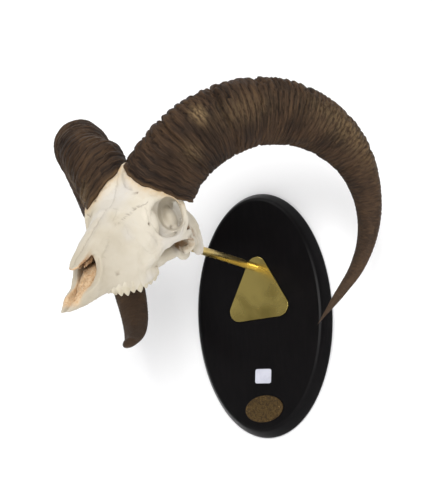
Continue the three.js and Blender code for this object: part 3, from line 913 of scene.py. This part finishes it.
def makeScrolls():
    scrolls = []
    for side in (1, -1):
        for places, radii, flat in noseScrolls:
            scrolls.append(makeLimb(pathOn(side, places), radii, flat=flat, around=36, steps=48))
    scrolls = joinPieces(scrolls)
    points = readPoints(scrolls.data)
    points[:, 0] += 0.9 * softNoise(points, 0.12, 5) + 0.5 * softNoise(points, 0.26, 8)
    points[:, 1] += 0.9 * softNoise(points, 0.17, 9)
    points[:, 2] += 0.7 * softNoise(points, 0.2, 6)
    writePoints(scrolls.data, points)
    bends = readPoints(scrolls.data)
    writeMask(scrolls.data, "nose", np.ones(len(bends)))
    # the upper scrolls darkened: painted shade under the roof of the nose
    writeMask(scrolls.data, "noseRoofShade", smoothStep(bends[:, 2] + 0.35 * (bends[:, 1] + 200), 22, 40) * 0.8)
    return scrolls


def distanceTo(points, path):
    # distance of each point from a line through named places
    best = np.full(len(points), 1e9)
    for a, b in zip(path[:-1], path[1:]):
        a, b = np.array(a, float), np.array(b, float)
        way = b - a
        t = np.clip((points - a) @ way / max(way @ way, 1e-9), 0, 1)
        best = np.minimum(best, np.linalg.norm(points - a - t[:, None] * way, axis=1))
    return best


skullSeams = [
    # each seam between two bones: half width, depth, darkness, waviness, its sides and its places
    (0.6, 0.5, 0.22, 0.9, (1,), ((78, 114, 0), (93, 98, 0), (111, 85.5, 0), (125, 78, 0), (151, 68, 0),
                                 (185, 54, 0), (222, 35, 0))),
    (0.5, 0.6, 0.5, 0.6, (1, -1), ((148, 59.4, 19), (135, 64, 22), (126.4, 67, 25.4), (118.6, 69.8, 31),
                                   (113.2, 71.5, 37.5))),
    (0.5, 0.35, 0.14, 0.6, (1, -1), ((128, 77, 1), (132, 68, 8), (138, 60, 9), (160, 50, 12), (185, 38, 14),
                                     (203, 24, 13))),
    (0.5, 0.35, 0.16, 0.8, (1, -1), ((117, 67, 36), (121, 52, 39), (124, 38, 38), (116, 30, 41))),
    (0.5, 0.3, 0.10, 0.8, (1, -1), ((137, 57, 12), (146, 46, 24), (140, 33, 34), (132, 22, 36),
                                    (122, 14, 34))),
    (0.5, 0.35, 0.14, 0.5, (1, -1), ((188, 34, 15), (198, 18, 17), (207, 8, 16), (214, -1, 14))),
    (0.9, 0.6, 0.12, 0.3, (1, -1), ((106, 96, 7), (100, 90, 13), (97, 83, 19))),
    (0.6, 0.5, 0.3, 1.0, (1, -1), ((24, 58, 26), (33, 46, 33), (45, 38, 36), (56, 33, 38))),
]
skullPits = [
    # each small hole: radius, depth, darkness of the painted shade in it, and place
    (1.0, 2.2, 0.85, (109.8, 83.4, 26.3)), (1.3, 2.4, 0.8, (120.5, 50.5, 37.6)),
    (0.8, 1.0, 0.4, (131, 45, 38)), (1.9, 2.2, 0.4, (179.1, 13.8, 23.1)),
    (0.9, 1.4, 0.75, (180.3, 13.0, 23.0)), (1.6, 1.6, 0.7, (42, 28.4, 36.2)),
    (1.6, 2.2, 0.7, (49, 29, 36)), (1.4, 1.8, 0.5, (40, 26, 38)),
    (2.2, 2.4, 0.8, (53, 18, 38)), (1.3, 1.6, 0.6, (60, 22, 40)), (2.8, 2.6, 0.6, (54, 9, 34)),
    (1.2, 1.4, 0.6, (44, 10, 32)), (1.4, 2.0, 0.5, (68, 33, 30)),
]


def wavyPath(piece, places, wave):
    # a seam's places, closer together, laid on the surface and made to wander a little
    path = np.array(places, float)
    lengths = np.concatenate([[0], np.cumsum(np.linalg.norm(np.diff(path, axis=0), axis=1))])
    steps = np.linspace(0, lengths[-1], max(4, int(lengths[-1] / 1.6)))
    fine = np.stack([np.interp(steps, lengths, path[:, axis]) for axis in range(3)], 1)
    shift = np.stack([softNoise(fine + 40 * axis, 0.23, 21 + axis) for axis in range(3)], 1)
    laid = []
    for point in fine + shift * wave:
        found, spot, normal, index = piece.closest_point_on_mesh(Vector(point))
        laid.append(tuple(spot) if found else tuple(point))
    return laid


backInset = profile((0, 1.5), (14, 2.5), (35, 3.4), (48, 5.5), (60, 8), (76, 7), (95, 0))


def bareSkull():
    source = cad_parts["skull"]
    skull = bpy.data.objects.new("boneSkull", source.data.copy())
    bpy.context.scene.collection.objects.link(skull)
    skull.data.materials.clear()
    skull.data.transform(Matrix.Scale(1 / mm, 4) @ headMatrix.inverted())
    editAll(skull, bpy.ops.mesh.remove_doubles, threshold=1e-3)
    lumps = mirrored(boneLumps)
    cores = [makeHornCore(side) for side in hornSides]
    skull = joinPieces([skull] + lumps + cores)
    remeshed(skull, skullForm["roughVoxel"], 0)
    cutAway(skull, mirrored(boneHollows))
    skull = joinPieces([skull] + mirrored(boneInserts))
    remeshed(skull, skullForm["voxel"], skullForm["smoothing"])
    thin = skull.modifiers.new("thin", "DECIMATE")
    thin.ratio = min(1, skullForm["triangles"] / (2 * len(skull.data.polygons)))
    applyModifiers(skull)
    return skull


def refineNear(piece, paths, reach):
    # more faces along the seams and round the holes, where the surface is finest
    points = readPoints(piece.data)
    near = np.zeros(len(points), bool)
    for path in paths:
        near |= distanceTo(points, path) < reach
    workOn(piece)
    bpy.ops.object.mode_set(mode="EDIT")
    bpy.ops.mesh.select_mode(type="VERT")
    bpy.ops.mesh.select_all(action="DESELECT")
    bpy.ops.object.mode_set(mode="OBJECT")
    piece.data.vertices.foreach_set("select", near)
    bpy.ops.object.mode_set(mode="EDIT")
    bpy.ops.mesh.select_mode(type="FACE")
    bpy.ops.mesh.subdivide(number_cuts=1)
    bpy.ops.mesh.select_mode(type="VERT")
    bpy.ops.object.mode_set(mode="OBJECT")


headFit = {
    "back": (44, 62),        # fades of what is drawn in at the back, forward and to the side
    "sides": (12, 28),
    "muzzle": (224, 258),    # where the muzzle narrows towards its tip
    "narrower": 0.3,
    "lower": 0.5,
    "muzzleLevel": 2.5,
}
unevenness = ((0.22, 0.06, 3), (0.1, 0.17, 4))    # height, scale and seed


def fitSkull(points):
    # clears the notch for the teeth, draws in the back of the head and narrows the muzzle's tip
    side, forward, up = points[:, 0], -points[:, 1], points[:, 2]
    inRow = np.abs(np.abs(side) - toothLine(forward)) < toothRow["halfWidth"]
    inRow &= (forward > toothRow["back"]) & (forward < toothRow["front"])
    notch = toothNotch(forward)
    up = np.where(inRow & (up < notch), notch, up)
    drawnIn = backInset(up) * (1 - smoothStep(forward, *headFit["back"]))
    drawnIn *= smoothStep(np.abs(side), *headFit["sides"])
    tip = smoothStep(forward, *headFit["muzzle"])
    side = (side - np.sign(side) * drawnIn) * (1 - headFit["narrower"] * tip)
    up = (up + headFit["muzzleLevel"]) * (1 - headFit["lower"] * tip) - headFit["muzzleLevel"]
    return np.stack([side, -forward, up], 1)


def skullGrooves(skull):
    # half width, depth, darkness and line on the surface of every seam and hole; the darkness is a seam's
    # own dark colour, and painted shade in a hole
    grooves = []
    for width, depth, seamDarkAndHoleShade, wave, sides, places in skullSeams:
        for side in sides:
            grooves.append((width, depth, seamDarkAndHoleShade, wavyPath(skull, pathOn(side, places), wave)))
    for radius, depth, seamDarkAndHoleShade, place in skullPits:
        for spot in (pathOn(side, [place])[0] for side in (1, -1)):
            found, spot, normal, index = skull.closest_point_on_mesh(spot)
            grooves.append((radius, depth, seamDarkAndHoleShade, [tuple(spot), tuple(spot + normal * 0.01)]))
    return grooves


def carveSkull(skull, grooves):
    # lowers the seams and holes into a slightly uneven surface, and gives what the masks are made from
    points, normals = readPoints(skull.data), readNormals(skull.data)
    lower, seamDarkAndHoleShadeAmount = np.zeros(len(points)), np.zeros(len(points))
    for width, depth, seamDarkAndHoleShade, path in grooves:
        fall = np.exp(-(distanceTo(points, path) / width) ** 2)
        lower = np.maximum(lower, depth * fall)
        seamDarkAndHoleShadeAmount = np.maximum(seamDarkAndHoleShadeAmount, seamDarkAndHoleShade * fall)
    rough = sum(height * softNoise(points, scale, seed) for height, scale, seed in unevenness)
    points = points + normals * (rough - lower)[:, None]
    writePoints(skull.data, points)
    return points, normals, seamDarkAndHoleShadeAmount


noseMask = {
    "back": (160, 182),      # where the inside of the nose begins and ends, as fades
    "front": (240, 254),
    "sides": (8.5, 11.5),
    "floor": (-4, 3),
    "roofTilt": (0.2, 0.7),
    "roofBand": (-7, -2),
    "noseRoofShade": (22, 38),
}
earStainAndArchShadeSpots = [
    # middle as (forward, up), squeeze of its round, its fade, its fades to the side, and its strength
    ((42, 27), (1, 1), (3, 12), (26, 34), (200, 201), 1),
    ((46, 16), (0.6, 1), (5, 12), (12, 18), (36, 44), 1),
    # painted shade under the back of the cheek arch, in front of the ear
    ((64, 16), (1, 1.3), (6, 14), (28, 34), (200, 201), 0.7),
]


def earStainAndArchShade(forward, up, reach):
    # the brown stains round the ear and under it, and in front of it painted shade under the back of the
    # cheek arch
    stainAndArchShade = np.zeros(len(reach))
    for middle, squeeze, fade, inner, outer, strength in earStainAndArchShadeSpots:
        away = np.hypot((forward - middle[0]) * squeeze[0], (up - middle[1]) * squeeze[1])
        spot = strength * (1 - smoothStep(away, *fade)) * smoothStep(reach, *inner)
        stainAndArchShade = np.maximum(stainAndArchShade, spot * (1 - smoothStep(reach, *outer)))
    return stainAndArchShade


def markSkull(mesh, points, normals, seamDarkAndHoleShadeAmount):
    # masks for the finish of the bone
    side, forward, up = points[:, 0], -points[:, 1], points[:, 2]
    reach = np.abs(side)
    inNose = smoothStep(forward, *noseMask["back"]) * (1 - smoothStep(reach, *noseMask["sides"]))
    inNose *= smoothStep(up, *noseMask["floor"]) * (1 - smoothStep(forward, *noseMask["front"]))
    roof = 77 - (forward - 122) * 0.42    # the line of the nose bones
    outside = smoothStep(normals[:, 2], *noseMask["roofTilt"]) * smoothStep(up - roof, *noseMask["roofBand"])
    inNose *= 1 - outside
    # dark seams, and painted shade in the holes
    writeMask(mesh, "seamDarkAndHoleShade", seamDarkAndHoleShadeAmount)
    writeMask(mesh, "nose", inNose)
    writeMask(mesh, "muzzle", smoothStep(forward, 128, 205))
    # painted shade under the roof of the nose, darker higher up
    writeMask(mesh, "noseRoofShade", inNose * smoothStep(up - 0.35 * (forward - 200), *noseMask["noseRoofShade"]) * 0.9)
    writeMask(mesh, "stainAndArchShade", earStainAndArchShade(forward, up, reach))
    hornFoot = np.full(len(points), 1e9)
    for hornSide in hornSides:
        for spot in hornRings(hornSide, [hornSide["start"]], [1.0], 64)[0]:
            hornFoot = np.minimum(hornFoot, np.linalg.norm(points - spot, axis=1))
    writeMask(mesh, "foot", np.exp(-(hornFoot / skullForm["footTan"]) ** 2))


def makeSkull():
    skull = bareSkull()
    print("skull remeshed", len(skull.data.vertices), len(skull.data.polygons))
    writePoints(skull.data, fitSkull(readPoints(skull.data)))
    grooves = skullGrooves(skull)
    refineNear(skull, [groove[-1] for groove in grooves], skullForm["refineReach"])
    markSkull(skull.data, *carveSkull(skull, grooves))
    teeth = makeTeeth()
    skull = joinPieces([skull, teeth, makeScrolls()])
    skull.data.transform(headMatrix @ Matrix.Scale(mm, 4))
    smoothShade(skull)
    print("skull faces", sum(len(face.vertices) - 2 for face in skull.data.polygons))
    return skull


# Mount

# metres, with (inset, depth) steps from the plaque's back to its front
plaqueShape = {
    "height": 0.296,
    "width": 0.180,
    "facets": 256,
    "rim": [(0.0012, 0.0), (0.0003, 0.0004), (0.0, 0.0012), (0.0, 0.0024), (0.0004, 0.0034),
            (0.0018, 0.0060), (0.0036, 0.0090), (0.0056, 0.0120), (0.0070, 0.01385), (0.0078, 0.01455),
            (0.0086, 0.0150), (0.0094, 0.01535), (0.0101, 0.01565), (0.0106, 0.0159), (0.0112, 0.0160)],
}


def stackedDisc(name, count, layers):
    # a disc with one ring of points for each (inset, depth) layer, and each point's inset and depth
    deselectAll()
    bpy.ops.mesh.primitive_circle_add(vertices=count, radius=1, fill_type="NGON")
    disc = newest(name)
    bpy.ops.object.mode_set(mode="EDIT")
    bpy.ops.mesh.select_all(action="SELECT")
    for _ in layers[1:]:
        bpy.ops.mesh.extrude_region_move(TRANSFORM_OT_translate={"value": (0, 0, 1)})
    bpy.ops.object.mode_set(mode="OBJECT")
    points = readPoints(disc.data)
    insets, depths = np.array(layers)[np.rint(points[:, 2]).astype(int)].T
    return disc, points, insets, depths


def makePlaque():
    shape = plaqueShape
    plaque, points, insets, depths = stackedDisc("plaqueBoard", shape["facets"], shape["rim"])
    placed = np.stack([points[:, 0] * (shape["width"] / 2 - insets), -depths,
                       points[:, 1] * (shape["height"] / 2 - insets)], 1)
    writePoints(plaque.data, placed)
    turnOutward(plaque)
    smoothShade(plaque, 30)
    return plaque


def wallDisc(name, outline, layers):
    # a flat piece on the plaque: its outline and the (inset, depth) steps from its back to its front
    count = len(outline)
    disc, points, insets, depths = stackedDisc(name, count, layers)
    turn = np.rint(np.arctan2(points[:, 1], points[:, 0]) / (2 * math.pi / count)).astype(int) % count
    edge = np.array(outline, float)
    ahead = np.roll(edge, -1, 0) - np.roll(edge, 1, 0)
    inward = np.stack([-ahead[:, 1], ahead[:, 0]], 1) / np.linalg.norm(ahead, axis=1, keepdims=True)
    flat = edge[turn] + inward[turn] * insets[:, None]
    writePoints(disc.data, np.stack([flat[:, 0], -plaqueFront - depths, flat[:, 1]], 1) * mm)
    turnOutward(disc)
    smoothShade(disc, 32)
    return disc


def placedOutline(points, shape):
    # an outline turned and moved to its place on the plaque
    c, s = math.cos(shape["turn"]), math.sin(shape["turn"])
    return [(shape["x"] + x * c - z * s, shape["z"] + x * s + z * c) for x, z in points]


def arcOutline(arcs, radius, steps):
    # round corners joined by straight sides: each arc is a centre, its first and its last angle
    points = []
    for (x, z), first, last in arcs:
        for angle in np.linspace(first, last, steps):
            points.append((x + radius * math.cos(angle), z + radius * math.sin(angle)))
    return points


# millimetres
plaqueFront = 16.0
plateShape = {"topX": 2, "topZ": 54.5, "footX": 26, "footZ": 5, "corner": 13,
              "layers": [(0, 0), (0, 1.85), (0.12, 2.12), (0.4, 2.3)]}
rodShape = {"radius": 4.8, "x": 0, "z": 55.5, "start": 18.1, "end": 206, "sides": 64, "ease": 0.4}
labelShape = {"width": 21, "height": 17, "corner": 2.5, "turn": -0.1, "x": 1.2, "z": -76.2,
              "layers": [(0, 0), (0, 0.35), (0.08, 0.42)]}
tagShape = {"width": 49.5, "height": 31.5, "facets": 96, "turn": 0.02, "x": 0, "z": -114.8,
            "layers": [(0, 0), (0, 1.0), (0.25, 1.45), (0.8, 1.6), (1.5, 1.62), (1.75, 1.45), (2.05, 1.45),
                       (2.3, 1.62)]}
pinShape = {"radius": 1.95, "height": 1.2, "foot": 0.3, "back": 17.6, "spacing": 39}


def makePlate():
    shape = plateShape
    lean = math.atan2(shape["footX"], shape["topZ"] - shape["footZ"])
    arcs = [((shape["topX"], shape["topZ"]), lean, math.pi - lean),
            ((shape["topX"] - shape["footX"], shape["footZ"]), math.pi - lean, 1.5 * math.pi),
            ((shape["topX"] + shape["footX"], shape["footZ"]), 1.5 * math.pi, 2 * math.pi + lean)]
    return wallDisc("mountPlate", arcOutline(arcs, shape["corner"], 28), shape["layers"])


def makeLabel():
    shape = labelShape
    x, z = shape["width"] / 2 - shape["corner"], shape["height"] / 2 - shape["corner"]
    right = math.pi / 2
    corners = enumerate(((x, z), (-x, z), (-x, -z), (x, -z)))
    arcs = [(corner, i * right, (i + 1) * right) for i, corner in corners]
    outline = arcOutline(arcs, shape["corner"], 10)
    return wallDisc("lotLabel", placedOutline(outline, shape), shape["layers"])


def makeTag():
    shape = tagShape
    angles = [2 * math.pi * i / shape["facets"] for i in range(shape["facets"])]
    oval = [(shape["width"] / 2 * math.cos(a), shape["height"] / 2 * math.sin(a)) for a in angles]
    return wallDisc("brassTag", placedOutline(oval, shape), shape["layers"])


def makePin(name, side):
    shape = pinShape
    reach = side * shape["spacing"] / 2
    deselectAll()
    bpy.ops.mesh.primitive_uv_sphere_add(segments=28, ring_count=16, radius=1)
    pin = newest(name)
    points = readPoints(pin.data)
    dome = points[:, 2] * np.where(points[:, 2] > 0, shape["height"], shape["foot"])
    placed = np.stack([tagShape["x"] + reach + points[:, 0] * shape["radius"], -shape["back"] - dome,
                       tagShape["z"] + reach * tagShape["turn"] + points[:, 1] * shape["radius"]], 1)
    writePoints(pin.data, placed * mm)
    turnOutward(pin)
    smoothShade(pin)
    return pin


def makeRod():
    shape = rodShape
    length = shape["end"] - shape["start"]
    deselectAll()
    centre = (shape["x"] * mm, -(shape["start"] + length / 2) * mm, shape["z"] * mm)
    bpy.ops.mesh.primitive_cylinder_add(vertices=shape["sides"], radius=shape["radius"] * mm,
                                        depth=length * mm, location=centre, rotation=(math.pi / 2, 0, 0))
    rod = newest("mountRod")
    applyPlace(rod)
    soften = rod.modifiers.new("easedEnds", "BEVEL")
    soften.width = shape["ease"] * mm
    soften.segments = 3
    soften.limit_method = "ANGLE"
    applyModifiers(rod)
    smoothShade(rod, 32)
    return rod


def dress(piece, material, slotName, *nodes):
    piece.data.materials.clear()
    piece.data.materials.append(material)
    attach(piece, "root")
    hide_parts(*nodes)


makeCamera()
makeStage()
makeLights()
print("camera and stage ready")

bone, hornFinish, wood = boneMaterial(), hornMaterial(), woodMaterial()
plateBrass = brassMaterial("polishedBrass", paint(176, 158, 92), paint(126, 112, 61))
# the rod's brass is a lighter copy of the plate's brass: painted light, standing in for the rod's brighter
# reflections
rodBrassPaintedLighter = brassMaterial("rodBrassPaintedLighter", paint(240, 216, 146), paint(206, 180, 112))
agedBrass, paper = agedBrassMaterial(), paperMaterial()
print("materials ready")

for side in hornSides:
    dress(makeHorn(side), hornFinish, "horn", side["node"])
print("horns ready")

dress(makeSkull(), bone, "bone", "skull")
print("skull ready")

dress(makePlaque(), wood, "black_wood", "plaque")
dress(makePlate(), plateBrass, "polished_brass", "mount_plate")
dress(makeRod(), rodBrassPaintedLighter, "polished_brass", "mount_rod")
dress(makeLabel(), paper, "paper", "label")
dress(makeTag(), agedBrass, "aged_brass", "tag")
dress(makePin("tagPinLeft", 1), agedBrass, "aged_brass", "tag_pin_left")
dress(makePin("tagPinRight", -1), agedBrass, "aged_brass", "tag_pin_right")
print("mount ready")
